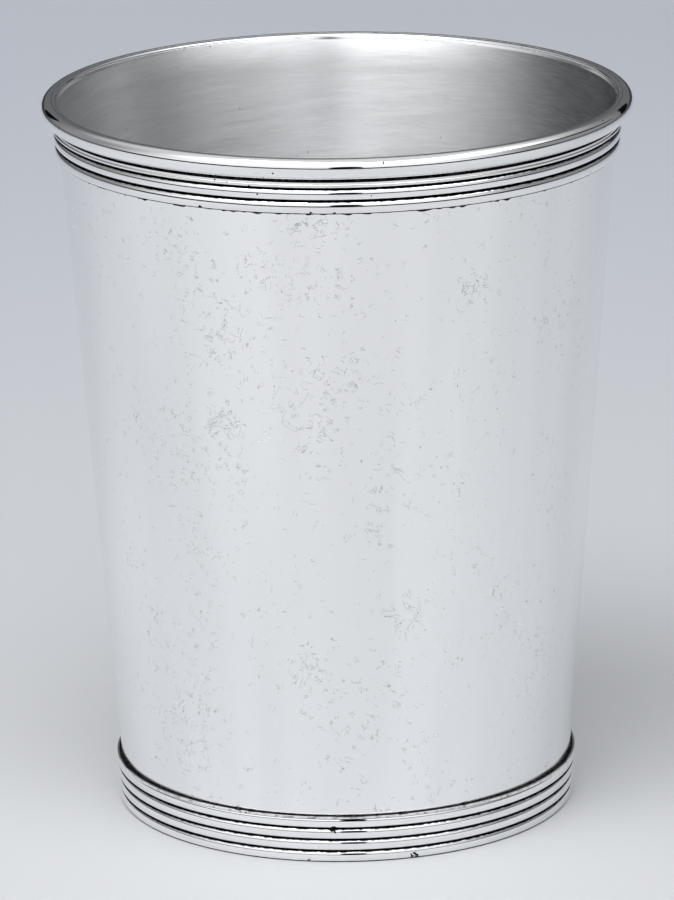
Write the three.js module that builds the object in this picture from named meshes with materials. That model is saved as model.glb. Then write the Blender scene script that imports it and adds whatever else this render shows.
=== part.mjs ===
// Julep cup of sheet silver: a tapered wall with a base disc let into it, a heavy half-round wire round its
// mouth, a band of three reeds under that wire and a band of four reeds round the foot, all joined with
// silver solder. Lengths are millimetres and Z points up. The origin is the middle of the circle that the
// cup stands on.

import * as THREE from "three";

// Whole cup, and how finely its round pieces are faceted
const CUP_HEIGHT = 98.4;
const FACETS = 64;
const SOLDER_FILM = 0.06;

// Wall: a straight cone of sheet, thrown outwards a little behind the mouth's mouldings
const WALL_FOOT_RADIUS = 30.46;
const WALL_MOUTH_RADIUS = 37.81;
const WALL_THICKNESS = 0.6;
const WALL_LIFT = 0.4;
const EDGE_DROP = 0.08;
const EDGE_ROUNDING = 0.35;
const EDGE_STEPS = 3;
const FLARE_DEPTH = 4.4;
const FLARE_REACH = 0.5;
const FLARE_STEPS = 4;

// Base disc: flat near the wall and domed in the middle, so that it can't rock
const BASE_HEIGHT = 5;
const BASE_THICKNESS = 0.7;
const BASE_DOME = 0.5;
const BASE_FLAT_WIDTH = 3;
const BASE_STEPS = 3;

// Lip wire: a half-round wire with its flat side against the wall
const LIP_WIDTH = 1.44;
const LIP_HEIGHT = 2.9;
const LIP_BELLY_DROP = 1.25;
const LIP_SEAT_WIDTH = 0.25;
const LIP_INNER_WIDTH = 0.33;
const LIP_STEPS = 5;
const LIP_INNER_STEPS = 2;

// Reeded band under the lip wire, and the open slot between the two
const RIM_SLOT = 0.4;
const RIM_LOW_REED = 1.81;
const RIM_MIDDLE_REED = 1.62;
const RIM_TOP_REED = 0.86;
const RIM_REED_PROUD = 0.8;
const RIM_GROOVE_PROUD = 0.37;

// Reeded band round the foot
const FOOT_REED = 1.63;
const FOOT_TOP_REED = 1.6;
const FOOT_LOWER_REEDS = 3;
const FOOT_REED_PROUD = 0.78;
const FOOT_GROOVE_PROUD = 0.42;

// Reeds: the width cut away between two of them, and how much of its upper quarter turn a top reed keeps
const GROOVE_WIDTH = 0.16;
const REED_STEPS = 4;
const LEDGE_SHARE = 0.5;

// Solder that shows along the seams
const SLOT_SOLDER_WIDTH = 0.16;
const RIM_SOLDER_LEG = 0.35;
const FOOT_SOLDER_LEG = 0.28;
const BASE_SOLDER_LEG = 0.8;

// Heights that follow from these
const EDGE_HEIGHT = CUP_HEIGHT - EDGE_DROP;
const LIP_LOW = CUP_HEIGHT - LIP_HEIGHT;
const RIM_TOP = LIP_LOW - RIM_SLOT;
const RIM_REEDS = [RIM_LOW_REED, RIM_MIDDLE_REED, RIM_TOP_REED];
const RIM_LOW = RIM_REEDS.reduce((height, reed) => height - reed, RIM_TOP);
const FOOT_REEDS = [...Array(FOOT_LOWER_REEDS).fill(FOOT_REED), FOOT_TOP_REED];
const FOOT_TOP = FOOT_REEDS.reduce((height, reed) => height + reed, 0);

// Finishes
const POLISHED = { color: 0xdfe1e4, roughness: 0.12, metalness: 1 };
const SATIN = { color: 0xcfd1d4, roughness: 0.32, metalness: 1 };
const SOLDER = { color: 0xa9a7a1, roughness: 0.4, metalness: 1 };

// Evenly spaced values from one to another, both ends included
function spaced(from, to, steps) {
  return Array.from({ length: steps + 1 }, (_, step) => from + ((to - from) * step) / steps);
}

// The wall's outer radius at a height: the plain cone, and the cone with its flare at the mouth
function coneRadius(height) {
  return WALL_FOOT_RADIUS + (WALL_MOUTH_RADIUS - WALL_FOOT_RADIUS) * (height / CUP_HEIGHT);
}

function wallRadius(height) {
  const climbShare = Math.max(0, 1 - (EDGE_HEIGHT - height) / FLARE_DEPTH);
  return coneRadius(height) + FLARE_REACH * climbShare * climbShare;
}

// Radii of what lies against the wall's outside and inside, a film of solder away from it
function outsideSeat(height) {
  return wallRadius(height) + SOLDER_FILM;
}

function insideSeat(height) {
  return wallRadius(height) - WALL_THICKNESS - SOLDER_FILM;
}

// Points along part of an ellipse, its ends given in quarter turns from straight outwards
function ellipseArc([radius, height], width, rise, fromQuarter, toQuarter, steps) {
  return spaced(fromQuarter, toQuarter, steps).map((quarter) => {
    const angle = (quarter * Math.PI) / 2;
    return [radius + width * Math.cos(angle), height + rise * Math.sin(angle)];
  });
}

// A solid turned about the Z axis from an outline of [radius, height] points, listed in either direction
function turned(outline, isClosed = true) {
  const points = outline.map(([radius, height]) => new THREE.Vector2(radius, height));
  if (THREE.ShapeUtils.isClockWise(points)) {
    points.reverse();
  }
  if (isClosed) {
    points.push(points[0].clone());
  }
  return new THREE.LatheGeometry(points, FACETS).rotateX(Math.PI / 2);
}

// Up the wall's outside, over its softened edge at the mouth and down the inside
function bodyWall() {
  const heights = [WALL_LIFT, ...spaced(EDGE_HEIGHT - FLARE_DEPTH, EDGE_HEIGHT, FLARE_STEPS)];
  const outside = heights.map((height) => [wallRadius(height), height]);
  const inside = outside.map(([radius, height]) => [radius - WALL_THICKNESS, height]);
  const [edgeRadius] = inside.pop();
  const edgeTurn = [edgeRadius + EDGE_ROUNDING, EDGE_HEIGHT - EDGE_ROUNDING];
  const edge = ellipseArc(edgeTurn, EDGE_ROUNDING, EDGE_ROUNDING, 1, 2, EDGE_STEPS);
  return turned([...outside, ...edge, ...inside.reverse()]);
}

// Out along the domed underside, up the edge that follows the wall's taper, and back over the top
function baseDisc() {
  const topHeight = BASE_HEIGHT + BASE_THICKNESS;
  const domeRadius = insideSeat(BASE_HEIGHT) - BASE_FLAT_WIDTH;
  const under = spaced(0, 1, BASE_STEPS).map((share) => [
    domeRadius * share,
    BASE_HEIGHT + BASE_DOME * (1 - share * share),
  ]);
  const over = under.map(([radius, height]) => [radius, height + BASE_THICKNESS]);
  const edge = [
    [insideSeat(BASE_HEIGHT), BASE_HEIGHT],
    [insideSeat(topHeight), topHeight],
  ];
  return turned([...under, ...edge, ...over.reverse()], false);
}

// From the wire's narrow seat round its belly, over its crown to the wall's edge and down its flat side
function lipWire() {
  const belly = CUP_HEIGHT - LIP_BELLY_DROP;
  const seatRadius = outsideSeat(LIP_LOW) + LIP_SEAT_WIDTH;
  const crownRadius = outsideSeat(EDGE_HEIGHT) + LIP_INNER_WIDTH;
  const crownWidth = LIP_WIDTH - LIP_INNER_WIDTH;
  const underWidth = crownRadius + crownWidth - seatRadius;
  const underDepth = LIP_HEIGHT - LIP_BELLY_DROP;
  const under = ellipseArc([seatRadius, belly], underWidth, underDepth, -1, 0, LIP_STEPS);
  const over = ellipseArc([crownRadius, belly], crownWidth, LIP_BELLY_DROP, 0, 1, LIP_STEPS);
  const inner = ellipseArc([crownRadius, EDGE_HEIGHT], -LIP_INNER_WIDTH, EDGE_DROP, 1, 0, LIP_INNER_STEPS);
  const flat = spaced(EDGE_HEIGHT, LIP_LOW, LIP_INNER_STEPS).map((height) => [outsideSeat(height), height]);
  return turned([...under, ...over.slice(1), ...inner.slice(1), ...flat]);
}

// A band of reeds from its lower edge up. The top one is squared off into a ledge.
function reededBand(low, reeds, proud, grooveProud) {
  const outline = [];
  let height = low;
  reeds.forEach((reed, index) => {
    const middle = height + reed / 2;
    const endQuarter = index === reeds.length - 1 ? LEDGE_SHARE : 1;
    const root = [coneRadius(middle) + grooveProud, middle];
    const halfReed = (reed - GROOVE_WIDTH) / 2;
    outline.push(...ellipseArc(root, proud - grooveProud, halfReed, -1, endQuarter, REED_STEPS));
    height += reed;
  });
  const lowCorner = [outline[0][0], low];
  const ledgeCorner = [outline.at(-1)[0], height];
  return turned([[outsideSeat(low), low], lowCorner, ...outline, ledgeCorner, [outsideSeat(height), height]]);
}

// Solder that fills the back of the slot between the lip wire and the reeded band
function slotSolder() {
  const low = RIM_TOP + SOLDER_FILM;
  const top = LIP_LOW - SOLDER_FILM;
  return turned([
    [outsideSeat(low), low],
    [outsideSeat(low) + SLOT_SOLDER_WIDTH, low],
    [outsideSeat(top) + SLOT_SOLDER_WIDTH, top],
    [outsideSeat(top), top],
  ]);
}

// A three-cornered fillet against the wall. It starts at the seam, and its tip lies a leg above or below.
function solderFillet(seamHeight, isAbove, leg, seat, isOutside) {
  const climb = isAbove ? 1 : -1;
  const near = seamHeight + climb * SOLDER_FILM;
  const tip = near + climb * leg;
  const reach = isOutside ? leg : -leg;
  return turned([
    [seat(near), near],
    [seat(near) + reach, near],
    [seat(tip), tip],
  ]);
}

function piece(name, geometry, finish) {
  const mesh = new THREE.Mesh(geometry, new THREE.MeshStandardMaterial(finish));
  mesh.name = name;
  return mesh;
}

const cup = new THREE.Group();
cup.add(
  piece("body_wall", bodyWall(), SATIN),
  piece("base_disc", baseDisc(), SATIN),
  piece("lip_wire", lipWire(), POLISHED),
  piece("rim_band", reededBand(RIM_LOW, RIM_REEDS, RIM_REED_PROUD, RIM_GROOVE_PROUD), POLISHED),
  piece("foot_band", reededBand(0, FOOT_REEDS, FOOT_REED_PROUD, FOOT_GROOVE_PROUD), POLISHED),
  piece("lip_solder", slotSolder(), SOLDER),
  piece("rim_solder", solderFillet(RIM_LOW, false, RIM_SOLDER_LEG, outsideSeat, true), SOLDER),
  piece("foot_solder", solderFillet(FOOT_TOP, true, FOOT_SOLDER_LEG, outsideSeat, true), SOLDER),
  piece("base_solder", solderFillet(BASE_HEIGHT, false, BASE_SOLDER_LEG, insideSeat, false), SOLDER),
);

export default cup;
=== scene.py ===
"""Models a julep cup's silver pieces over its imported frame, and sets it on a pale table under soft light."""

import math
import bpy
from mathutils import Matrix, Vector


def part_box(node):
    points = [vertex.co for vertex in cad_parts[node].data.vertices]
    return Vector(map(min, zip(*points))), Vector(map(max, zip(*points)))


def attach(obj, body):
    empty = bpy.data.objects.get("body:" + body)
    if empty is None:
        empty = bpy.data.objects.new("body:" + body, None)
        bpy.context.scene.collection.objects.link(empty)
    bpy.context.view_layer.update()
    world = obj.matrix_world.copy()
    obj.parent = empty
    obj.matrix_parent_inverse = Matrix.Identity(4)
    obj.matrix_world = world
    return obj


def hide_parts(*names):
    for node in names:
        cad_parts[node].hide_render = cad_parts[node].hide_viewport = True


bl_info = {
    "name": "Julep Cup",
    "version": (1, 0, 0),
    "blender": (4, 5, 0),
    "location": "3D View > Sidebar > Julep Cup",
    "description": "Models a julep cup of sheet silver over its frame, with its finishes and a small studio",
    "category": "Add Mesh",
}

import bmesh
import bpy
from bpy.props import FloatProperty, FloatVectorProperty, IntProperty, PointerProperty
from mathutils import Matrix, Vector, noise

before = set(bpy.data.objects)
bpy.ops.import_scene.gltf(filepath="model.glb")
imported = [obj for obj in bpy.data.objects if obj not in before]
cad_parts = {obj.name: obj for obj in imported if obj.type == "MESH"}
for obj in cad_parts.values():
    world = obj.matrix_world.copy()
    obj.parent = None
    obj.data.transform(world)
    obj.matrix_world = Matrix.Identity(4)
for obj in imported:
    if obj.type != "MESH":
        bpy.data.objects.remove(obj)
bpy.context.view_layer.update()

MILLIMETRE = 0.001
BOXES = {name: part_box(name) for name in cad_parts}

# How finely the straight parts of a section are drawn, and what is merged or shaded sharp
FLARE_STEPS = 12
DOME_STEPS = 12
MERGE_DISTANCE = 0.0001 * MILLIMETRE
SHARP_ANGLE = math.radians(40)

# Quarter turn at which the rounding of the lip's inner edge meets the wall
LIP_INNER_END = 1.9

# Seams of solder: name, node, whether the seam lies outside the wall, whether its fillet climbs from it, and
# the least share of the fillet's full width. Its lumps wander by a share as well.
SEAMS = (
    ("rim_seam", "rim_solder", True, False, 0.12),
    ("foot_seam", "foot_solder", True, True, 0.08),
    ("base_seam", "base_solder", False, False, 0.7),
)
SEAM_WANDER = 1.1
SEAM_SHIFT = 10


class CupSizes(bpy.types.PropertyGroup):
    """Sizes of the cup that its frame's boxes don't give"""

    foot_radius: FloatProperty(
        name="Wall radius at the foot",
        description="Outside radius of the wall's plain cone at the height of the table",
        default=30.46 * MILLIMETRE,
        unit="LENGTH",
    )
    wall_thickness: FloatProperty(
        name="Wall thickness",
        description="Thickness of the wall's sheet",
        default=0.6 * MILLIMETRE,
        unit="LENGTH",
    )
    edge_rounding: FloatProperty(
        name="Edge rounding",
        description="Rounding of the wall's bright edge at the mouth",
        default=0.35 * MILLIMETRE,
        unit="LENGTH",
    )
    flare_depth: FloatProperty(
        name="Flare depth",
        description="Height of the stretch below the mouth over which the wall is thrown outwards",
        default=4.4 * MILLIMETRE,
        unit="LENGTH",
    )
    flare_reach: FloatProperty(
        name="Flare reach",
        description="How far the wall's edge is thrown outwards",
        default=0.5 * MILLIMETRE,
        unit="LENGTH",
    )
    solder_film: FloatProperty(
        name="Solder film",
        description="Gap that the solder fills between the wall and what is joined to it",
        default=0.06 * MILLIMETRE,
        unit="LENGTH",
    )
    base_dome: FloatProperty(
        name="Base dome",
        description="How far the middle of the base disc is raised",
        default=0.5 * MILLIMETRE,
        unit="LENGTH",
    )
    base_flat_width: FloatProperty(
        name="Base flat width",
        description="Width of the flat ring of the base disc inside the wall",
        default=3.0 * MILLIMETRE,
        unit="LENGTH",
    )
    belly_drop: FloatProperty(
        name="Belly drop",
        description="Depth of the lip wire's widest point below its crown",
        default=1.25 * MILLIMETRE,
        unit="LENGTH",
    )
    lip_seat_width: FloatProperty(
        name="Lip seat width",
        description="Width of the lip wire's narrow lower face",
        default=0.25 * MILLIMETRE,
        unit="LENGTH",
    )
    lip_inner_width: FloatProperty(
        name="Lip inner width",
        description="How far the lip wire's crown lies outside the wall's edge",
        default=0.33 * MILLIMETRE,
        unit="LENGTH",
    )
    polished_depth: FloatProperty(
        name="Polished depth",
        description="How far the bright polish of the lip goes down the inside of the wall",
        default=0.7 * MILLIMETRE,
        unit="LENGTH",
    )
    rim_reeds: FloatVectorProperty(
        name="Rim reeds",
        description="Heights of the rim band's reeds, from the lowest up",
        default=(1.81 * MILLIMETRE, 1.62 * MILLIMETRE, 0.86 * MILLIMETRE),
        size=3,
        unit="LENGTH",
    )
    foot_reeds: FloatVectorProperty(
        name="Foot reeds",
        description="Heights of the foot band's reeds, from the lowest up",
        default=(1.63 * MILLIMETRE, 1.63 * MILLIMETRE, 1.63 * MILLIMETRE, 1.6 * MILLIMETRE),
        size=4,
        unit="LENGTH",
    )
    reed_proud: FloatVectorProperty(
        name="Reeds proud of the wall",
        description="How far the reeds of the rim band and of the foot band stand out from the wall's cone",
        default=(0.8 * MILLIMETRE, 0.78 * MILLIMETRE),
        size=2,
        unit="LENGTH",
    )
    groove_proud: FloatVectorProperty(
        name="Grooves proud of the wall",
        description="How far the grooves of the rim band and of the foot band stand out from the wall's cone",
        default=(0.37 * MILLIMETRE, 0.42 * MILLIMETRE),
        size=2,
        unit="LENGTH",
    )
    ledge_share: FloatProperty(
        name="Ledge share",
        description="Share of its upper quarter turn that the top reed of a band keeps above its middle",
        default=0.5,
        subtype="FACTOR",
        min=0,
        max=1,
    )
    groove_width: FloatProperty(
        name="Groove width",
        description="Width cut away between two reeds",
        default=0.16 * MILLIMETRE,
        unit="LENGTH",
    )
    slot_solder_width: FloatProperty(
        name="Slot solder width",
        description="How far the solder at the back of the slot under the lip wire stands out from the wall",
        default=0.16 * MILLIMETRE,
        unit="LENGTH",
    )
    tarnish_share: FloatProperty(
        name="Tarnished share",
        description="Share of a groove's depth that is black with tarnish",
        default=0.5,
        subtype="FACTOR",
        min=0,
        max=1,
    )
    lip_clean: FloatProperty(
        name="Clean lip",
        description="How far the lip wire stands out from the wall's cone where it is clean of tarnish",
        default=0.55 * MILLIMETRE,
        unit="LENGTH",
    )
    seam_grain: FloatProperty(
        name="Seam grain",
        description="Length of the lumps along a seam of solder",
        default=0.9 * MILLIMETRE,
        unit="LENGTH",
    )
    seam_steps: IntProperty(
        name="Seam steps",
        description="Facets round each seam of solder",
        default=640,
        min=16,
    )
    round_steps: IntProperty(
        name="Steps round",
        description="Facets round each turned piece",
        default=256,
        min=16,
    )
    arc_steps: IntProperty(
        name="Steps of a quarter arc",
        description="Facets in each quarter turn of a rounded section",
        default=8,
        min=2,
    )


class CupFinish(bpy.types.PropertyGroup):
    """Colours and roughness of the silver"""

    silver: FloatVectorProperty(
        name="Silver",
        description="Colour of clean silver",
        default=(0.925, 0.93, 0.94),
        subtype="COLOR",
        size=3,
        min=0,
        max=1,
    )
    tarnish: FloatVectorProperty(
        name="Tarnish",
        description="Colour of the black tarnish in the grooves",
        default=(0.004, 0.004, 0.0045),
        subtype="COLOR",
        size=3,
        min=0,
        max=1,
    )
    solder: FloatVectorProperty(
        name="Solder",
        description="Colour of the bare solder along the seams",
        default=(0.05, 0.05, 0.05),
        subtype="COLOR",
        size=3,
        min=0,
        max=1,
    )
    # The scratch colour is also the colour of the painted shade towards the inside's sides and bottom
    scratch_and_shade: FloatVectorProperty(
        name="Scratch",
        description="Colour of the dark scratches and pits on the polished wall",
        default=(0.12, 0.12, 0.125),
        subtype="COLOR",
        size=3,
        min=0,
        max=1,
    )
    polished: FloatProperty(
        name="Polished roughness",
        description="Roughness of the polished silver outside",
        default=0.12,
        subtype="FACTOR",
        min=0,
        max=1,
    )
    burnished: FloatProperty(
        name="Burnished roughness",
        description="Roughness of the bright reeds and lip",
        default=0.06,
        subtype="FACTOR",
        min=0,
        max=1,
    )
    satin: FloatProperty(
        name="Satin roughness",
        description="Roughness of the brushed silver inside",
        default=0.36,
        subtype="FACTOR",
        min=0,
        max=1,
    )


class CupStudio(bpy.types.PropertyGroup):
    """The camera, the table and the light"""

    camera_distance: FloatProperty(
        name="Camera distance",
        description="Distance from the camera to the point that it is aimed at",
        default=878.1 * MILLIMETRE,
        unit="LENGTH",
    )
    camera_elevation: FloatProperty(
        name="Camera elevation",
        description="Angle of the camera above the horizon",
        default=math.radians(15.877),
        subtype="ANGLE",
    )
    camera_roll: FloatProperty(
        name="Camera roll",
        description="How far the camera is turned about its own line of sight",
        default=math.radians(0.824),
        subtype="ANGLE",
    )
    camera_target: FloatVectorProperty(
        name="Camera target",
        description="The point that the camera is aimed at",
        default=(-0.66 * MILLIMETRE, 0, 48.5 * MILLIMETRE),
        size=3,
        subtype="XYZ",
        unit="LENGTH",
    )
    lens: FloatProperty(
        name="Lens",
        description="Focal length for a film that is 36 mm long",
        default=257.56,
        unit="CAMERA",
    )
    table_radius: FloatProperty(
        name="Table radius",
        description="Radius of the pale table top",
        default=1.1,
        unit="LENGTH",
    )
    table_colour: FloatVectorProperty(
        name="Table colour",
        description="Colour of the pale table top",
        default=(0.52, 0.525, 0.532),
        subtype="COLOR",
        size=3,
        min=0,
        max=1,
    )
    # The far colour is painted shade: darker, for the light falling off behind the cup
    far_table_shade_colour: FloatVectorProperty(
        name="Far table colour",
        description="Colour of the pale table top far behind the cup",
        default=(0.385, 0.403, 0.443),
        subtype="COLOR",
        size=3,
        min=0,
        max=1,
    )
    backdrop_colour: FloatVectorProperty(
        name="Backdrop colour",
        description="Colour that the camera sees past the edge of the table",
        default=(0.48, 0.5, 0.55),
        subtype="COLOR",
        size=3,
        min=0,
        max=1,
    )
    screen_colour: FloatVectorProperty(
        name="Screen colour",
        description="Colour of the dark screens that the silver mirrors",
        default=(0.004, 0.004, 0.004),
        subtype="COLOR",
        size=3,
        min=0,
        max=1,
    )
    softbox_place: FloatVectorProperty(
        name="Softbox place",
        description="Middle of the square softbox, in front of the cup and above it",
        default=(-0.28, -0.4, 0.98),
        size=3,
        subtype="XYZ",
        unit="LENGTH",
    )
    softbox_width: FloatProperty(
        name="Softbox width",
        description="Length of the softbox's sides",
        default=0.6,
        unit="LENGTH",
    )
    softbox_power: FloatProperty(
        name="Softbox power",
        description="Power of the softbox",
        default=4.4,
        unit="POWER",
    )


def sizes():
    return bpy.context.scene.cup_sizes


def finish():
    return bpy.context.scene.cup_finish


def studio():
    return bpy.context.scene.cup_studio


def wall_box():
    return BOXES["body_wall"]


def edge_height():
    return wall_box()[1].z


def cone_slope():
    """How far the plain cone widens for each metre of height"""
    edge_radius = wall_box()[1].x - sizes().flare_reach
    return (edge_radius - sizes().foot_radius) / edge_height()


def cone_radius(height):
    return sizes().foot_radius + cone_slope() * height


def wall_radius(height):
    """Outside radius of the wall: the plain cone, with its flare below the mouth"""
    climb_share = max(0, 1 - (edge_height() - height) / sizes().flare_depth)
    return cone_radius(height) + sizes().flare_reach * climb_share**2


def outside_seat(height):
    return wall_radius(height) + sizes().solder_film


def inside_seat(height):
    return wall_radius(height) - sizes().wall_thickness - sizes().solder_film


class Section:
    """The section of a turned piece, drawn from point to point in the XZ plane"""

    def __init__(self):
        self.mesh = bmesh.new()
        self.first = None
        self.last = None

    def join(self, point):
        if self.last is None:
            self.first = point
        else:
            self.mesh.edges.new((self.last, point))
        self.last = point

    def line(self, radius, height):
        self.join(self.mesh.verts.new((radius, 0, height)))

    def arc(self, centre, width, rise, quarters, steps):
        """Part of an ellipse, its ends given in quarter turns from straight outwards to straight up"""
        start, end = (quarter * math.pi / 2 for quarter in quarters)
        middle = Vector((centre[0], 0, centre[1]))
        point = self.mesh.verts.new(middle + Vector((math.cos(start), 0, math.sin(start))))
        count = len(self.mesh.verts) - 1
        bmesh.ops.spin(
            self.mesh,
            geom=[point],
            cent=middle,
            axis=(0, -1, 0),
            dvec=(0, 0, 0),
            angle=end - start,
            steps=steps,
        )
        self.mesh.verts.ensure_lookup_table()
        points = self.mesh.verts[count:]
        to_middle = Matrix.Translation(-middle)
        bmesh.ops.scale(self.mesh, vec=(width, 1, rise), space=to_middle, verts=points)
        self.join(point)
        self.last = points[-1]

    def turned(self, is_closed=True, steps=0):
        """Spins the section about Z into a solid and returns its mesh"""
        if is_closed:
            self.mesh.edges.new((self.last, self.first))
        bmesh.ops.spin(
            self.mesh,
            geom=self.mesh.verts[:] + self.mesh.edges[:],
            cent=(0, 0, 0),
            axis=(0, 0, 1),
            dvec=(0, 0, 0),
            angle=math.tau,
            steps=steps or sizes().round_steps,
            use_merge=True,
        )
        bmesh.ops.remove_doubles(self.mesh, verts=self.mesh.verts, dist=MERGE_DISTANCE)
        bmesh.ops.recalc_face_normals(self.mesh, faces=self.mesh.faces)
        return self.mesh


def new_object(name, mesh, material):
    """Makes an object of a mesh, with one material"""
    data = bpy.data.meshes.new(name)
    mesh.to_mesh(data)
    mesh.free()
    data.materials.append(material)
    item = bpy.data.objects.new(name, data)
    bpy.context.collection.objects.link(item)
    return item


def add_piece(name, mesh, material, node):
    """Makes a smooth object of a mesh, which then stands for a node of the frame"""
    for face in mesh.faces:
        face.smooth = True
    for edge in mesh.edges:
        edge.smooth = edge.calc_face_angle(0) < SHARP_ANGLE
    piece = new_object(name, mesh, material)
    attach(piece, "root")
    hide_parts(node)
    return piece


class Shading:
    """A node tree that is filled call by call. An input is a plain value or another node's output."""

    def __init__(self, tree):
        self.tree = tree

    def feed(self, socket, value):
        if isinstance(value, bpy.types.NodeSocket):
            self.tree.links.new(value, socket)
        else:
            socket.default_value = value

    def add(self, kind, inputs, **settings):
        node = self.tree.nodes.new(f"ShaderNode{kind}")
        for name, value in settings.items():
            setattr(node, name, value)
        for name, value in inputs.items():
            self.feed(node.inputs[name], value)
        return node

    def maths(self, operation, *values):
        return self.add("Math", dict(enumerate(values)), operation=operation).outputs[0]

    def strongest(self, *masks):
        """The largest of several masks"""
        result = masks[0]
        for mask in masks[1:]:
            result = self.maths("MAXIMUM", result, mask)
        return result

    def ramp(self, value, low, high, to_low=0.0, to_high=1.0):
        """A smooth step from one value to another"""
        inputs = {"Value": value, "From Min": low, "From Max": high, "To Min": to_low, "To Max": to_high}
        return self.add("MapRange", inputs, interpolation_type="SMOOTHSTEP").outputs[0]

    def colours(self, mask, first, second):
        """A colour that goes from the first to the second as the mask goes from 0 to 1"""
        mix = self.add("Mix", {}, data_type="RGBA")
        for name, value in (("Factor_Float", mask), ("A_Color", first), ("B_Color", second)):
            socket = next(item for item in mix.inputs if item.identifier == name)
            is_ready = isinstance(value, (bpy.types.NodeSocket, float))
            self.feed(socket, value if is_ready else (*value, 1))
        return next(item for item in mix.outputs if item.identifier == "Result_Color")

    def place(self):
        return self.add("TexCoord", {}).outputs["Object"]

    def axes(self):
        """X, Y and Z in the cup's frame"""
        return self.add("SeparateXYZ", {"Vector": self.place()}).outputs[:]

    def height_and_radius(self):
        """Height above the table, and distance from the cup's axis"""
        across, back, up = self.axes()
        squares = self.maths("ADD", self.maths("POWER", across, 2), self.maths("POWER", back, 2))
        return up, self.maths("SQRT", squares)

    def noise(self, grain, turn=(0, 0, 0), detail=2.0, shift=0.0):
        """Noise with a grain in millimetres along each axis of a turned frame"""
        inputs = {
            "Vector": self.place(),
            "Location": (shift * MILLIMETRE,) * 3,
            "Rotation": turn,
            "Scale": [length * MILLIMETRE for length in grain],
        }
        place = self.add("Mapping", inputs, vector_type="TEXTURE").outputs[0]
        inputs = {"Vector": place, "Scale": 1.0, "Detail": detail}
        return self.add("TexNoise", inputs).outputs["Fac"]

    def bump(self, height, distance):
        inputs = {"Height": height, "Distance": distance * MILLIMETRE}
        return self.add("Bump", inputs).outputs["Normal"]

    def patches(self, places):
        """Soft patches on the front, each given by its place across, height, reach and strength"""
        masks = []
        for across, height, reach, strength in places:
            values = {"Across": across, "Height": height, "Reach": reach}
            lengths = {name: value * MILLIMETRE for name, value in values.items()}
            masks.append(self.effect("Front patch", Strength=strength, **lengths)["Mask"])
        return self.strongest(*masks)

    def effect(self, name, **values):
        """Places one of the shared effects with this material's own values"""
        groups = bpy.data.node_groups
        node = self.add("Group", {}, node_tree=groups[name] if name in groups else EFFECTS[name]())
        for label, value in values.items():
            self.feed(node.inputs[label.replace("_", " ")], value)
        return node.outputs


class Effect(Shading):
    """A shader node group with number inputs and outputs"""

    def __init__(self, name, inputs):
        super().__init__(bpy.data.node_groups.new(name, "ShaderNodeTree"))
        for label, default in inputs.items():
            self.new_socket(label, "INPUT").default_value = default
        self.inputs = self.tree.nodes.new("NodeGroupInput").outputs
        self.end = self.tree.nodes.new("NodeGroupOutput")

    def new_socket(self, label, in_out):
        return self.tree.interface.new_socket(name=label, in_out=in_out, socket_type="NodeSocketFloat")

    def put_out(self, label, value):
        self.new_socket(label, "OUTPUT")
        self.tree.links.new(value, self.end.inputs[label])


# Grain of each noise, in millimetres along X, Y and Z
LEVEL_BRUSH_GRAIN = (3.5, 3.5, 0.22)
SLANTING_BRUSH_GRAIN = (3, 3, 0.26)
BRUSH_BAND_GRAIN = (14, 14, 0.9)
SCRATCH_BREAK_GRAIN = (1.1, 1.1, 1.1)
TARNISH_GRAIN = (0.7, 0.7, 0.5)
GRIME_AND_SHADE_GRAIN = (0.8, 0.8, 0.8)
PIT_GRAIN = (4, 4, 4)
WEAR_GRAIN = (14, 14, 16)
VEIL_GRAIN = (9, 9, 160)
SMUDGE_GRAIN = (30, 30, 12)
CREST_GRAIN = (20, 20, 2)
HOLLOW_GRAIN = (0.35, 0.35, 0.25)
SOLDER_GRAIN = (0.5, 0.5, 0.5)

# The stretch of a noise over which it is blended: nearly all of it, its middle, and its narrow middle
WIDE_BLEND = (0.3, 0.7)
MIDDLE_BLEND = (0.35, 0.65)
NARROW_BLEND = (0.42, 0.58)

# Turns of the slanting brush lines and of the bands
BRUSH_SLANT = (0, math.radians(-10), 0)
BAND_SLANT = (0, math.radians(-5), 0)


def brush_lines():
    """Fine level lines left by a brush, some of them slanting, and the broader bands between them"""
    effect = Effect("Brush lines", {"Slanting": 0.5})
    level = effect.noise(LEVEL_BRUSH_GRAIN)
    slanting = effect.noise(SLANTING_BRUSH_GRAIN, BRUSH_SLANT, shift=40)
    bands = effect.noise(BRUSH_BAND_GRAIN, BAND_SLANT)
    share = effect.maths("MULTIPLY", slanting, effect.inputs["Slanting"])
    effect.put_out("Height", effect.maths("ADD", level, share))
    effect.put_out("Bands", bands)
    return effect.tree


# Three runs of scratches: the grain of the noise whose middle they follow, and its turn
SCRATCH_RUNS = (
    ((0.6, 0.6, 1.5), (0, 0.5, 0)),
    ((0.7, 0.7, 1.3), (0.3, -0.6, 0.4)),
    ((1.8, 1.8, 0.6), (0.2, 0.3, 0)),
)

# Millimetres that set the runs apart, and that set a run apart from what breaks it off
SCRATCH_SHIFT = 17.0
BREAK_SHIFT = 5.0

# The noise above which a scratch is kept where there is no cover, and what full cover adds to it
KEPT_ABOVE = 0.76
COVER_CHANGE = -0.26


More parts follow.
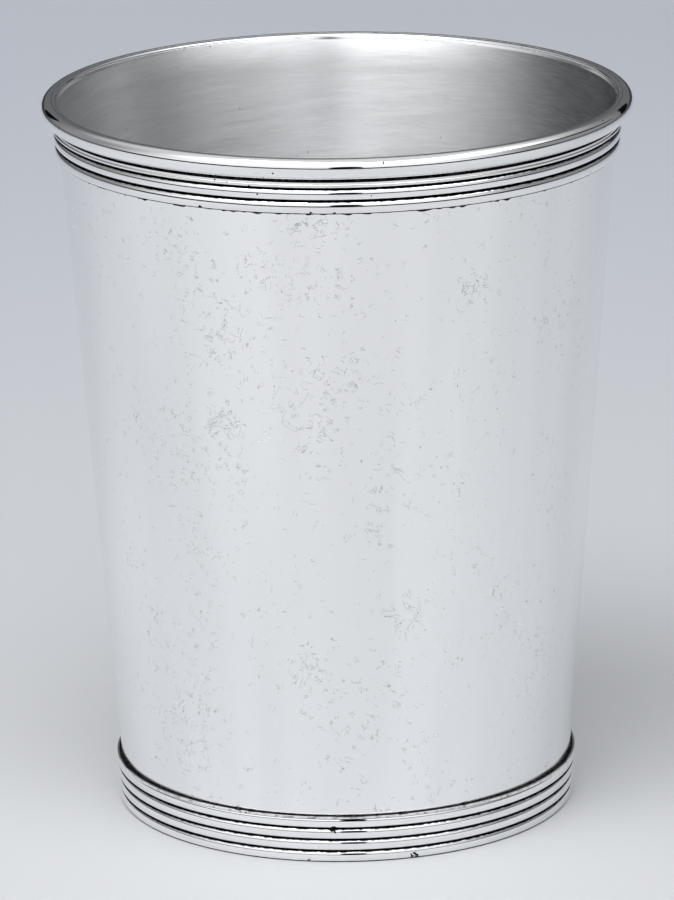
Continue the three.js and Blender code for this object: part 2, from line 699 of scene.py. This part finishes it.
def hair_scratches():
    """Short curling scratches. The more cover, the fewer of them are broken off."""
    effect = Effect("Hair scratches", {"Width": 0.01, "Cover": 0.5})
    threshold = effect.maths("MULTIPLY_ADD", effect.inputs["Cover"], COVER_CHANGE, KEPT_ABOVE)
    lines = []
    for index, (grain, turn) in enumerate(SCRATCH_RUNS):
        wander = effect.noise(grain, turn, 1.0, SCRATCH_SHIFT * index)
        off_line = effect.maths("ABSOLUTE", effect.maths("SUBTRACT", wander, 0.5))
        line = effect.maths("LESS_THAN", off_line, effect.inputs["Width"])
        breaks = effect.noise(SCRATCH_BREAK_GRAIN, turn, 0.0, BREAK_SHIFT + index)
        kept = effect.maths("GREATER_THAN", breaks, threshold)
        lines.append(effect.maths("MULTIPLY", line, kept))
    effect.put_out("Mask", effect.strongest(*lines))
    return effect.tree


def front_patch():
    """A soft round patch on the side of the cup that faces the camera"""
    effect = Effect("Front patch", {"Across": 0.0, "Height": 0.05, "Reach": 0.004, "Strength": 1.0})
    across, back, up = effect.axes()
    sideways = effect.maths("POWER", effect.maths("SUBTRACT", across, effect.inputs["Across"]), 2)
    upwards = effect.maths("POWER", effect.maths("SUBTRACT", up, effect.inputs["Height"]), 2)
    gap = effect.maths("SQRT", effect.maths("ADD", sideways, upwards))
    share = effect.ramp(gap, effect.inputs["Reach"], 0.0, 0.0, effect.inputs["Strength"])
    effect.put_out("Mask", effect.maths("MULTIPLY", share, effect.maths("LESS_THAN", back, 0.0)))
    return effect.tree


# Half the widths over which tarnish and the line of grime and painted shade fade out, and how much less
# tarnish a ledge has
TARNISH_FADE = 0.04 * MILLIMETRE
GRIME_AND_SHADE_FADE = 0.05 * MILLIMETRE
LEDGE_RISE = 0.2 * MILLIMETRE


def groove_tarnish():
    """Black tarnish in whatever lies less than a certain height proud of the wall's cone"""
    inputs = {"Clean above": 0.0006, "Foot radius": 0.03, "Slope": 0.07, "Ragged": 0.0002, "Ledge": 1.0}
    effect = Effect("Groove tarnish", inputs)
    height, radius = effect.height_and_radius()
    cone = effect.maths("MULTIPLY_ADD", effect.inputs["Slope"], height, effect.inputs["Foot radius"])
    ragged = effect.maths("SUBTRACT", effect.noise(TARNISH_GRAIN), 0.5)
    wander = effect.maths("MULTIPLY", ragged, effect.inputs["Ragged"])
    proud = effect.maths("ADD", effect.maths("SUBTRACT", radius, cone), wander)
    on_ledge = effect.maths("GREATER_THAN", height, effect.inputs["Ledge"])
    raised = effect.maths("MULTIPLY_ADD", on_ledge, LEDGE_RISE, proud)
    below = effect.maths("SUBTRACT", effect.inputs["Clean above"], raised)
    effect.put_out("Mask", effect.ramp(below, -TARNISH_FADE, TARNISH_FADE))
    return effect.tree


def level_grime_and_shade():
    """A ragged level line of grime and painted shade along a seam"""
    effect = Effect("Level grime and shade", {"Height": 0.0, "Width": 0.0002, "Ragged": 0.0002})
    height = effect.axes()[2]
    ragged = effect.maths("MULTIPLY", effect.noise(GRIME_AND_SHADE_GRAIN), effect.inputs["Ragged"])
    gap = effect.maths("ABSOLUTE", effect.maths("SUBTRACT", height, effect.inputs["Height"]))
    reach = effect.maths("SUBTRACT", effect.maths("ADD", effect.inputs["Width"], ragged), gap)
    effect.put_out("Mask", effect.ramp(reach, -GRIME_AND_SHADE_FADE, GRIME_AND_SHADE_FADE))
    return effect.tree


# About how far apart the pits would lie if none was left out
PIT_SPACING = 1.3 * MILLIMETRE


def pits():
    """Small dark pits and specks, thinly scattered"""
    effect = Effect("Pits", {"Size": 0.1, "Cover": 0.6})
    inputs = {"Vector": effect.place(), "Scale": 1 / PIT_SPACING}
    dots = effect.add("TexVoronoi", inputs).outputs["Distance"]
    near = effect.maths("LESS_THAN", dots, effect.inputs["Size"])
    patchy = effect.noise(PIT_GRAIN, detail=1.0)
    shown = effect.maths("GREATER_THAN", patchy, effect.inputs["Cover"])
    effect.put_out("Mask", effect.maths("MULTIPLY", near, shown))
    return effect.tree


EFFECTS = {
    "Front patch": front_patch,
    "Brush lines": brush_lines,
    "Hair scratches": hair_scratches,
    "Groove tarnish": groove_tarnish,
    "Level grime and shade": level_grime_and_shade,
    "Pits": pits,
}


class Finish(Shading):
    """A material with one Principled shader"""

    def __init__(self, name, metallic=1.0):
        self.material = bpy.data.materials.new(name)
        self.material.use_nodes = True
        super().__init__(self.material.node_tree)
        self.shader = self.tree.nodes["Principled BSDF"]
        self.set("Metallic", metallic)

    def set(self, name, value):
        self.feed(self.shader.inputs[name], value)


def shade(colour, share):
    return [part * share for part in colour]


# Where the wall is scuffed: place across, height and reach in millimetres, and strength
SCUFFS = (
    (-15.4, 61, 5, 1.1),
    (-5.5, 58.5, 3, 1.1),
    (17.5, 79, 4.5, 1.0),
    (8.5, 34, 5, 0.9),
    (-5.5, 81.6, 12, 0.55),
    (-14.7, 73, 12, 0.55),
    (-2.9, 87.9, 7, 0.7),
    (-17, 55, 9, 0.5),
    (-6.6, 27, 9, 0.55),
    (27.9, 72, 6, 0.55),
    (11, 56, 14, 0.35),
)


# Between the scuffs the wall is scratched where a noise is high enough, up to a strength
WORN_BLEND = (0.48, 0.78)
WORN_STRENGTH = 0.55

# How dark the scratches are, their depth in millimetres, how dull the veil is beside clean silver, and how
# much rougher the smudges are
SCRATCH_STRENGTH = 0.4
SCRATCH_DEPTH = -0.03
VEIL_SHADE = 0.95
SMUDGE_ROUGHNESS = 0.06


def polished_wall():
    """Outside of the wall: an old bright polish with hair scratches, pits and a faint veil"""
    metal = Finish("Polished silver wall")
    wear = metal.noise(WEAR_GRAIN, detail=1.0)
    worn = metal.ramp(wear, *WORN_BLEND, 0.0, WORN_STRENGTH)
    scuffs = metal.strongest(worn, metal.patches(SCUFFS))
    scratches = metal.effect("Hair scratches", Width=0.009, Cover=scuffs)["Mask"]
    specks = metal.effect("Pits", Size=0.055, Cover=0.66)["Mask"]
    rim_low = BOXES["rim_band"][0].z
    # A thin dark line on the wall along the rim band's lower edge: grime at the joint, with painted shade
    # under the band
    rim_grime_and_shade = metal.effect("Level grime and shade", Height=rim_low, Width=-0.02 * MILLIMETRE)["Mask"]
    veil = metal.ramp(metal.noise(VEIL_GRAIN, detail=1.0), *MIDDLE_BLEND)
    silver = metal.colours(veil, finish().silver, shade(finish().silver, VEIL_SHADE))
    faint_scratches = metal.maths("MULTIPLY", scratches, SCRATCH_STRENGTH)
    marked = metal.colours(faint_scratches, silver, finish().scratch_and_shade)
    # The pits, and the line of grime and painted shade under the rim band
    grime = metal.strongest(specks, rim_grime_and_shade)
    metal.set("Base Color", metal.colours(grime, marked, finish().tarnish))
    smooth = finish().polished
    smudges = metal.noise(SMUDGE_GRAIN)
    metal.set("Roughness", metal.ramp(smudges, *WIDE_BLEND, smooth, smooth + SMUDGE_ROUGHNESS))
    metal.set("Normal", metal.bump(scratches, SCRATCH_DEPTH))
    return metal.material


# Painted shade inside: the inside is painted darker towards its left and right sides and its bottom, where it
# lies in shade. The axis, the millimetres along it from which it darkens and at which it is darkest, and the
# strength there
INSIDE_PAINTED_SHADE = (
    ("X", 16, 35, 0.86),
    ("X", -30, -39, 0.4),
    ("Z", 9, 5, 0.3),
)

# The hollows between the brush lines, how much darker they are, and their depth in millimetres
BRUSH_HOLLOWS = (0.65, 0.95)
BRUSH_TONE = 0.07
BRUSH_DEPTH = 0.01

# How dull the satin and its darker bands are, how much the bands differ in roughness, and how dark its
# spots are
SATIN_SHADE = 0.98
BAND_SHADE = 0.93
BAND_ROUGHNESS = 0.03
SPOT_STRENGTH = 0.5

# How far the brush lines stretch a highlight, and in which direction, in whole turns
HIGHLIGHT_STRETCH = 0.85
HIGHLIGHT_TURN = 0.25


def satin_inside():
    """Inside of the cup: a satin finish with brush lines, and painted shade towards its sides and its bottom
    """
    metal = Finish("Satin silver")
    lines = metal.effect("Brush lines", Slanting=0.6)
    spots = metal.effect("Pits", Size=0.1, Cover=0.66)["Mask"]
    bright = shade(finish().silver, SATIN_SHADE)
    bands = metal.ramp(lines["Bands"], *WIDE_BLEND)
    brushed = metal.colours(bands, bright, shade(bright, BAND_SHADE))
    hollows_and_painted_shade = metal.ramp(lines["Height"], *BRUSH_HOLLOWS, BRUSH_TONE, 0.0)
    axes = dict(zip("XYZ", metal.axes()))
    for axis, start, end, strength in INSIDE_PAINTED_SHADE:
        painted_shade = metal.ramp(axes[axis], start * MILLIMETRE, end * MILLIMETRE, 0.0, strength)
        hollows_and_painted_shade = metal.maths("ADD", hollows_and_painted_shade, painted_shade)
    # Darker in the brush hollows, and with painted shade towards the inside's sides and bottom
    silver = metal.colours(hollows_and_painted_shade, brushed, finish().scratch_and_shade)
    faint_spots = metal.maths("MULTIPLY", spots, SPOT_STRENGTH)
    metal.set("Base Color", metal.colours(faint_spots, silver, finish().scratch_and_shade))
    ends = (finish().satin - BAND_ROUGHNESS, finish().satin + BAND_ROUGHNESS)
    metal.set("Roughness", metal.ramp(lines["Bands"], *WIDE_BLEND, *ends))
    metal.set("Anisotropic", HIGHLIGHT_STRETCH)
    metal.set("Anisotropic Rotation", HIGHLIGHT_TURN)
    metal.set("Normal", metal.bump(lines["Height"], BRUSH_DEPTH))
    return metal.material


# A height above the whole cup, for a moulding without a ledge, and how far below its top a ledge starts
NO_LEDGE = 1.0
LEDGE_DEPTH = 0.02 * MILLIMETRE

# How dull the worn crests are, the depth of their wear in millimetres, and the roughness of tarnish
CREST_SHADE = 0.93
CREST_DEPTH = 0.01
TARNISH_ROUGHNESS = 0.6

# What a noise has to reach in the middle of a pitted place to make a hollow
HOLLOW_ABOVE = 0.4


def polished_moulding(name, clean_above, pitted, ledge=NO_LEDGE):
    """Reeds and wire: bright crests, with black tarnish left in what lies less proud of the wall"""
    metal = Finish(name)
    tarnish = metal.effect(
        "Groove tarnish",
        Clean_above=clean_above,
        Foot_radius=sizes().foot_radius,
        Slope=cone_slope(),
        Ragged=0.16 * MILLIMETRE,
        Ledge=ledge,
    )["Mask"]
    specks = metal.effect("Pits", Size=0.1, Cover=0.62)["Mask"]
    dark = metal.strongest(tarnish, specks)
    hollows = metal.maths("MULTIPLY", metal.patches(pitted), metal.noise(HOLLOW_GRAIN))
    dark = metal.strongest(dark, metal.maths("GREATER_THAN", hollows, HOLLOW_ABOVE))
    wear = metal.noise(CREST_GRAIN)
    worn = metal.ramp(wear, *MIDDLE_BLEND)
    silver = metal.colours(worn, finish().silver, shade(finish().silver, CREST_SHADE))
    metal.set("Base Color", metal.colours(dark, silver, finish().tarnish))
    metal.set("Roughness", metal.ramp(dark, 0.0, 1.0, finish().burnished, TARNISH_ROUGHNESS))
    metal.set("Normal", metal.bump(wear, CREST_DEPTH))
    return metal.material


# Pits at the joints of the wire and bands, in the same terms as the scuffs
LIP_MARKS = ((5.9, 97.9, 0.5, 1.0),)
RIM_MARKS = ((-3.5, 90.9, 0.9, 1.0), (-0.6, 90.9, 0.8, 1.0), (-18, 91, 0.9, 1.0))
FOOT_MARKS = ((-1.9, 4.75, 1.5, 1.0), (9, 0.5, 2.0, 0.9), (-5.2, 0.3, 0.6, 1.0))


# Roughness of the solder in its hollows and on its lumps, and the depth of the hollows in millimetres
SOLDER_ROUGHNESS = (0.7, 0.5)
SOLDER_DEPTH = 0.06


def dull_solder():
    """Solder: dull grey with black hollows"""
    metal = Finish("Solder")
    hollows = metal.ramp(metal.noise(SOLDER_GRAIN), *NARROW_BLEND)
    metal.set("Base Color", metal.colours(hollows, finish().tarnish, finish().solder))
    metal.set("Roughness", metal.ramp(hollows, 0.0, 1.0, *SOLDER_ROUGHNESS))
    metal.set("Normal", metal.bump(hollows, SOLDER_DEPTH))
    return metal.material


class CUP_OT_body_wall(bpy.types.Operator):
    """Model the tapered wall of sheet silver"""

    bl_idname = "cup.body_wall"
    bl_label = "Body Wall"

    def execute(self, context):
        size = sizes()
        low = wall_box()[0].z
        edge = edge_height()
        high = BOXES["lip_wire"][1].z
        rounding = size.edge_rounding
        section = Section()
        section.line(wall_radius(low) - size.wall_thickness, low)
        section.line(wall_radius(low), low)
        flare = [edge - size.flare_depth * (1 - step / FLARE_STEPS) for step in range(FLARE_STEPS + 1)]
        for height in flare:
            section.line(wall_radius(height), height)
        inner = wall_radius(edge) - size.wall_thickness
        section.arc((inner + rounding, edge - rounding), rounding, rounding, (1, 2), size.arc_steps)
        for height in reversed(flare):
            if height < edge - rounding:
                section.line(wall_radius(height) - size.wall_thickness, height)
        mesh = section.turned()
        for face in mesh.faces:
            middle = face.calc_center_median()
            faces_axis = face.normal.x * middle.x + face.normal.y * middle.y < 0
            face.material_index = int(faces_axis and middle.z < high - size.polished_depth)
        wall = add_piece("wall_sheet", mesh, polished_wall(), "body_wall")
        wall.data.materials.append(satin_inside())
        return {"FINISHED"}


class CUP_OT_base_disc(bpy.types.Operator):
    """Model the domed disc that is let into the wall above the foot"""

    bl_idname = "cup.base_disc"
    bl_label = "Base Disc"

    def execute(self, context):
        size = sizes()
        low, high = BOXES["base_disc"]
        thickness = high.z - low.z - size.base_dome
        top = low.z + thickness
        flat = inside_seat(low.z) - size.base_flat_width
        shares = [step / DOME_STEPS for step in range(DOME_STEPS + 1)]
        section = Section()
        for share in shares:
            section.line(flat * share, low.z + size.base_dome * (1 - share**2))
        section.line(inside_seat(low.z), low.z)
        section.line(inside_seat(top), top)
        for share in reversed(shares):
            section.line(flat * share, top + size.base_dome * (1 - share**2))
        add_piece("base_sheet", section.turned(False), satin_inside(), "base_disc")
        return {"FINISHED"}


class CUP_OT_lip_wire(bpy.types.Operator):
    """Model the heavy half-round wire round the mouth"""

    bl_idname = "cup.lip_wire"
    bl_label = "Lip Wire"

    def execute(self, context):
        size = sizes()
        low, high = BOXES["lip_wire"]
        edge = edge_height()
        middle = (edge + low.z) / 2
        belly = high.z - size.belly_drop
        seat = outside_seat(low.z) + size.lip_seat_width
        crown = outside_seat(edge) + size.lip_inner_width
        inner_rise = high.z - edge
        steps = size.arc_steps
        section = Section()
        section.line(outside_seat(low.z), low.z)
        section.arc((seat, belly), high.x - seat, belly - low.z, (-1, 0), steps * 2)
        section.arc((crown, belly), high.x - crown, size.belly_drop, (0, 1), steps * 2)
        section.arc((crown, edge), size.lip_inner_width, inner_rise, (1, LIP_INNER_END), steps)
        section.line(wall_radius(edge), edge)
        section.line(outside_seat(middle), middle)
        material = polished_moulding("Polished lip", size.lip_clean, LIP_MARKS)
        add_piece("lip_bead", section.turned(), material, "lip_wire")
        return {"FINISHED"}


def reeded_section(node, reeds, proud, groove_proud):
    """Section of a band of reeds, from its lower edge up, with the top reed squared off into a ledge"""
    size = sizes()
    low, high = BOXES[node]
    section = Section()
    section.line(outside_seat(low.z), low.z)
    height = low.z
    for index, reed in enumerate(reeds):
        middle = height + reed / 2
        end = size.ledge_share if index == len(reeds) - 1 else 1
        root = cone_radius(middle) + groove_proud
        rise = (reed - size.groove_width) / 2
        if index == 0:
            section.line(root, height)
        section.arc((root, middle), proud - groove_proud, rise, (-1, end), size.arc_steps * 2)
        height += reed
    section.line(section.last.co.x, high.z)
    section.line(outside_seat(high.z), high.z)
    return section


class CUP_OT_reeded_bands(bpy.types.Operator):
    """Model the band of reeds under the lip wire and the one round the foot"""

    bl_idname = "cup.reeded_bands"
    bl_label = "Reeded Bands"

    def execute(self, context):
        size = sizes()
        foot_ledge = BOXES["foot_band"][1].z - LEDGE_DEPTH
        bands = (
            ("rim_reeds", "rim_band", size.rim_reeds, RIM_MARKS, NO_LEDGE),
            ("foot_reeds", "foot_band", size.foot_reeds, FOOT_MARKS, foot_ledge),
        )
        for index, (name, node, reeds, marks, ledge) in enumerate(bands):
            proud = size.reed_proud[index]
            groove_proud = size.groove_proud[index]
            section = reeded_section(node, reeds, proud, groove_proud)
            clean_above = groove_proud + size.tarnish_share * (proud - groove_proud)
            material = polished_moulding(f"Polished {name}", clean_above, marks, ledge)
            add_piece(name, section.turned(), material, node)
        return {"FINISHED"}


class CUP_OT_solder(bpy.types.Operator):
    """Model the solder that shows along the seams"""

    bl_idname = "cup.solder"
    bl_label = "Solder"

    def execute(self, context):
        size = sizes()
        material = dull_solder()
        low, high = (corner.z for corner in BOXES["lip_solder"])
        slot = Section()
        slot.line(outside_seat(low), low)
        slot.line(outside_seat(low) + size.slot_solder_width, low)
        slot.line(outside_seat(high) + size.slot_solder_width, high)
        slot.line(outside_seat(high), high)
        add_piece("lip_seam", slot.turned(), material, "lip_solder")
        for index, (name, node, is_outside, is_above, least) in enumerate(SEAMS):
            low, high = (corner.z for corner in BOXES[node])
            near, tip = (low, high) if is_above else (high, low)
            seat = outside_seat if is_outside else inside_seat
            reach = high - low if is_outside else low - high
            fillet = Section()
            fillet.line(seat(near), near)
            fillet.line(seat(near) + reach, near)
            fillet.line(seat(tip), tip)
            mesh = fillet.turned(steps=size.seam_steps)
            self.make_ragged(mesh, Vector((seat(near), near)), least, SEAM_SHIFT * index)
            add_piece(name, mesh, material, node)
        return {"FINISHED"}

    def make_ragged(self, mesh, root, least, shift):
        """Shrinks a fillet towards its root by a share that wanders along the seam"""
        grain = sizes().seam_grain
        for point in mesh.verts:
            flat = Vector((point.co.x, point.co.y, 0))
            wander = noise.noise(flat.normalized() * (root.x / grain) + Vector((0, 0, shift)))
            share = min(1, max(least, least + SEAM_WANDER * wander))
            radius = root.x + (flat.length - root.x) * share
            point.co.z = root.y + (point.co.z - root.y) * share
            point.co.xy = flat.normalized().xy * radius


# Width of the camera's film in millimetres, and the nearest and farthest distance that it sees
FILM_WIDTH = 36
CLIP = (0.01, 20)

# A painted pool of light makes the table lighter in a round patch at the cup's left: its middle, where it ends
# and is full, and its share
LIGHT_POOL_MIDDLE = (-0.08, 0.03, 0)
LIGHT_POOL_BLEND = (0.11, 0.02)
LIGHT_POOL_SHARE = 1.12

# Painted shade for the light falling off behind the cup: where the table starts to darken to its far colour,
# and where it has it
FALLOFF_BLEND = (-0.25, 0.55)
TABLE_ROUGHNESS = 0.7

# Height on the cup's axis that the softbox is aimed at
AIM_HEIGHT = 0.05

# Dark screens: bearing, elevation and roll in degrees, spread across and upwards in degrees, and distance. A
# bearing is clockwise from straight behind the cup, and a distance is from the middle of its mouth.
SCREENS = (
    ("front_screen", (177, 7, 0), (13, 28), 1.2),
    ("left_screen", (-31, 12, 0), (12, 18), 0.6),
    ("right_screen", (33, 11, -47), (24, 10), 0.6),
    ("boom_screen", (76, 28, 22), (66, 7), 1.2),
)
SCREEN_THICKNESS = 0.02

# The light tent, by the direction looked in, whose X, Y and Z run from -1 to 1. A blend says where it starts
# and ends along its axis, and levels say its brightness at either end as well. Two of them lean: some X is
# mixed into their Y.
LOW_LEAN = 0.2
LOW_LEVELS = (-0.75, 0.15, 1.06, 0.27)
STEEP_LEAN = -0.3
STEEP_LEVELS = (-0.45, 0.3, 3.5, 0.7)
FRONT_BLEND = (0.42, 0.85)
DEPTH_LEVELS = (0.55, 0.97, 1, 0.5)
OVERHEAD_BLEND = (0.85, 0.93)
OVERHEAD_LEVEL = 0.75
ROOM_LEVELS = (-0.3, 0.3, 0.02, 0.15)
ROOM_DEPTH_LEVELS = (0.7, 1, 1, 0.25)
HEM_BLEND = (0.08, 0.12)
TENT_TINT = (0.985, 1, 1.015)


class CUP_OT_studio(bpy.types.Operator):
    """Set up the camera, the pale table and the soft light"""

    bl_idname = "cup.studio"
    bl_label = "Studio"

    def execute(self, context):
        self.camera(context)
        self.table(context)
        self.light(context)
        return {"FINISHED"}

    def camera(self, context):
        settings = studio()
        data = bpy.data.cameras.new("Camera")
        camera = bpy.data.objects.new("Camera", data)
        context.collection.objects.link(camera)
        tilt = math.pi / 2 - settings.camera_elevation
        turn = Matrix.Rotation(tilt, 4, "X") @ Matrix.Rotation(-settings.camera_roll, 4, "Z")
        place = Matrix.Translation(settings.camera_target) @ turn
        camera.matrix_world = place @ Matrix.Translation((0, 0, settings.camera_distance))
        data.sensor_width = FILM_WIDTH
        data.lens = settings.lens
        data.clip_start, data.clip_end = CLIP
        context.scene.camera = camera

    def table(self, context):
        settings = studio()
        cloth = Finish("Table", 0.0)
        # Painted shade: the table darkens towards its far colour behind the cup, where the light falls off
        far = cloth.ramp(cloth.axes()[1], *FALLOFF_BLEND)
        # A painted pool of light: the table is lighter in a round patch at the cup's left
        ends = {0: cloth.place(), 1: LIGHT_POOL_MIDDLE}
        gap = cloth.add("VectorMath", ends, operation="DISTANCE").outputs["Value"]
        light_pool = cloth.ramp(gap, *LIGHT_POOL_BLEND)
        near_colour = settings.table_colour
        # The table colour, lifted by the painted pool of light
        near = cloth.colours(light_pool, near_colour, shade(near_colour, LIGHT_POOL_SHARE))
        cloth.set("Base Color", cloth.colours(far, near, settings.far_table_shade_colour))
        cloth.set("Roughness", TABLE_ROUGHNESS)
        mesh = bmesh.new()
        bmesh.ops.create_circle(mesh, cap_ends=True, radius=settings.table_radius, segments=96)
        new_object("table_top", mesh, cloth.material)

    def light(self, context):
        self.world(context)
        self.softbox(context)
        for screen in SCREENS:
            self.dark_screen(*screen)
        context.scene.view_settings.view_transform = "Standard"

    def softbox(self, context):
        """A square lamp, aimed at the middle of the cup"""
        settings = studio()
        data = bpy.data.lights.new("Key softbox", "AREA")
        data.shape = "SQUARE"
        data.size = settings.softbox_width
        data.energy = settings.softbox_power
        lamp = bpy.data.objects.new("Key softbox", data)
        context.collection.objects.link(lamp)
        place = Vector(settings.softbox_place)
        back = place - Vector((0, 0, AIM_HEIGHT))
        turn = back.to_track_quat("Z", "Y").to_matrix().to_4x4()
        lamp.matrix_world = Matrix.Translation(place) @ turn
        lamp.visible_camera = False

    def dark_screen(self, name, angles, spread, distance):
        """An oval dark screen, which the polished silver mirrors"""
        bearing, elevation, roll = map(math.radians, angles)
        width, height = (2 * distance * math.tan(math.radians(angle) / 2) for angle in spread)
        mouth = Matrix.Translation((0, 0, edge_height()))
        turn = Matrix.Rotation(-bearing, 4, "Z") @ Matrix.Rotation(elevation, 4, "X")
        push = Matrix.Translation((0, distance, 0)) @ Matrix.Rotation(-roll, 4, "Y")
        oval = mouth @ turn @ push @ Matrix.Diagonal((width, SCREEN_THICKNESS, height, 1))
        paint = Finish("Dark screen", 0.0)
        paint.set("Base Color", (*studio().screen_colour, 1))
        paint.set("Roughness", 1.0)
        paint.set("Specular IOR Level", 0.0)
        mesh = bmesh.new()
        bmesh.ops.create_uvsphere(mesh, u_segments=48, v_segments=24, radius=0.5, matrix=oval)
        screen = new_object(name, mesh, paint.material)
        screen.visible_camera = False

    def world(self, context):
        """A light tent: white in front and overhead, greyer behind, with the dark room under its hem"""
        world = bpy.data.worlds.new("Tent")
        context.scene.world = world
        world.use_nodes = True
        sky = Shading(world.node_tree)
        direction = sky.add("TexCoord", {}).outputs["Generated"]
        across, back, up = sky.add("SeparateXYZ", {"Vector": direction}).outputs[:]
        low = sky.ramp(sky.maths("MULTIPLY_ADD", across, LOW_LEAN, back), *LOW_LEVELS)
        steep = sky.ramp(sky.maths("MULTIPLY_ADD", across, STEEP_LEAN, back), *STEEP_LEVELS)
        front = sky.ramp(up, *FRONT_BLEND, low, steep)
        depth = sky.maths("MULTIPLY", front, sky.ramp(back, *DEPTH_LEVELS))
        overhead = sky.ramp(up, *OVERHEAD_BLEND, depth, OVERHEAD_LEVEL)
        near_room = sky.ramp(back, *ROOM_LEVELS)
        room = sky.maths("MULTIPLY", near_room, sky.ramp(back, *ROOM_DEPTH_LEVELS))
        above_hem = sky.ramp(up, *HEM_BLEND)
        tent = sky.ramp(above_hem, 0, 1, room, overhead)
        tint = {0: TENT_TINT, "Scale": tent}
        tinted = sky.add("VectorMath", tint, operation="SCALE").outputs[0]
        seen = sky.add("LightPath", {}).outputs["Is Camera Ray"]
        colour = sky.colours(seen, tinted, studio().backdrop_colour)
        sky.feed(sky.tree.nodes["Background"].inputs["Color"], colour)


class CUP_PT_panel(bpy.types.Panel):
    """The cup's sizes, finishes and making"""

    bl_idname = "CUP_PT_panel"
    bl_label = "Julep Cup"
    bl_space_type = "VIEW_3D"
    bl_region_type = "UI"
    bl_category = "Julep Cup"

    def draw(self, context):
        for operator in OPERATORS:
            self.layout.operator(operator.bl_idname)
        for settings in (sizes(), finish(), studio()):
            for name in settings.__annotations__:
                self.layout.prop(settings, name)


OPERATORS = (
    CUP_OT_studio,
    CUP_OT_body_wall,
    CUP_OT_base_disc,
    CUP_OT_lip_wire,
    CUP_OT_reeded_bands,
    CUP_OT_solder,
)
GROUPS = {"cup_sizes": CupSizes, "cup_finish": CupFinish, "cup_studio": CupStudio}


def register():
    for group in GROUPS.values():
        bpy.utils.register_class(group)
    for name, group in GROUPS.items():
        setattr(bpy.types.Scene, name, PointerProperty(type=group))
    for operator in OPERATORS:
        bpy.utils.register_class(operator)
    bpy.utils.register_class(CUP_PT_panel)


def unregister():
    bpy.utils.unregister_class(CUP_PT_panel)
    for operator in reversed(OPERATORS):
        bpy.utils.unregister_class(operator)
    for name, group in GROUPS.items():
        delattr(bpy.types.Scene, name)
        bpy.utils.unregister_class(group)


def main():
    register()
    bpy.ops.cup.studio()
    bpy.ops.cup.body_wall()
    bpy.ops.cup.base_disc()
    bpy.ops.cup.lip_wire()
    bpy.ops.cup.reeded_bands()
    bpy.ops.cup.solder()


if __name__ == "__main__":
    main()
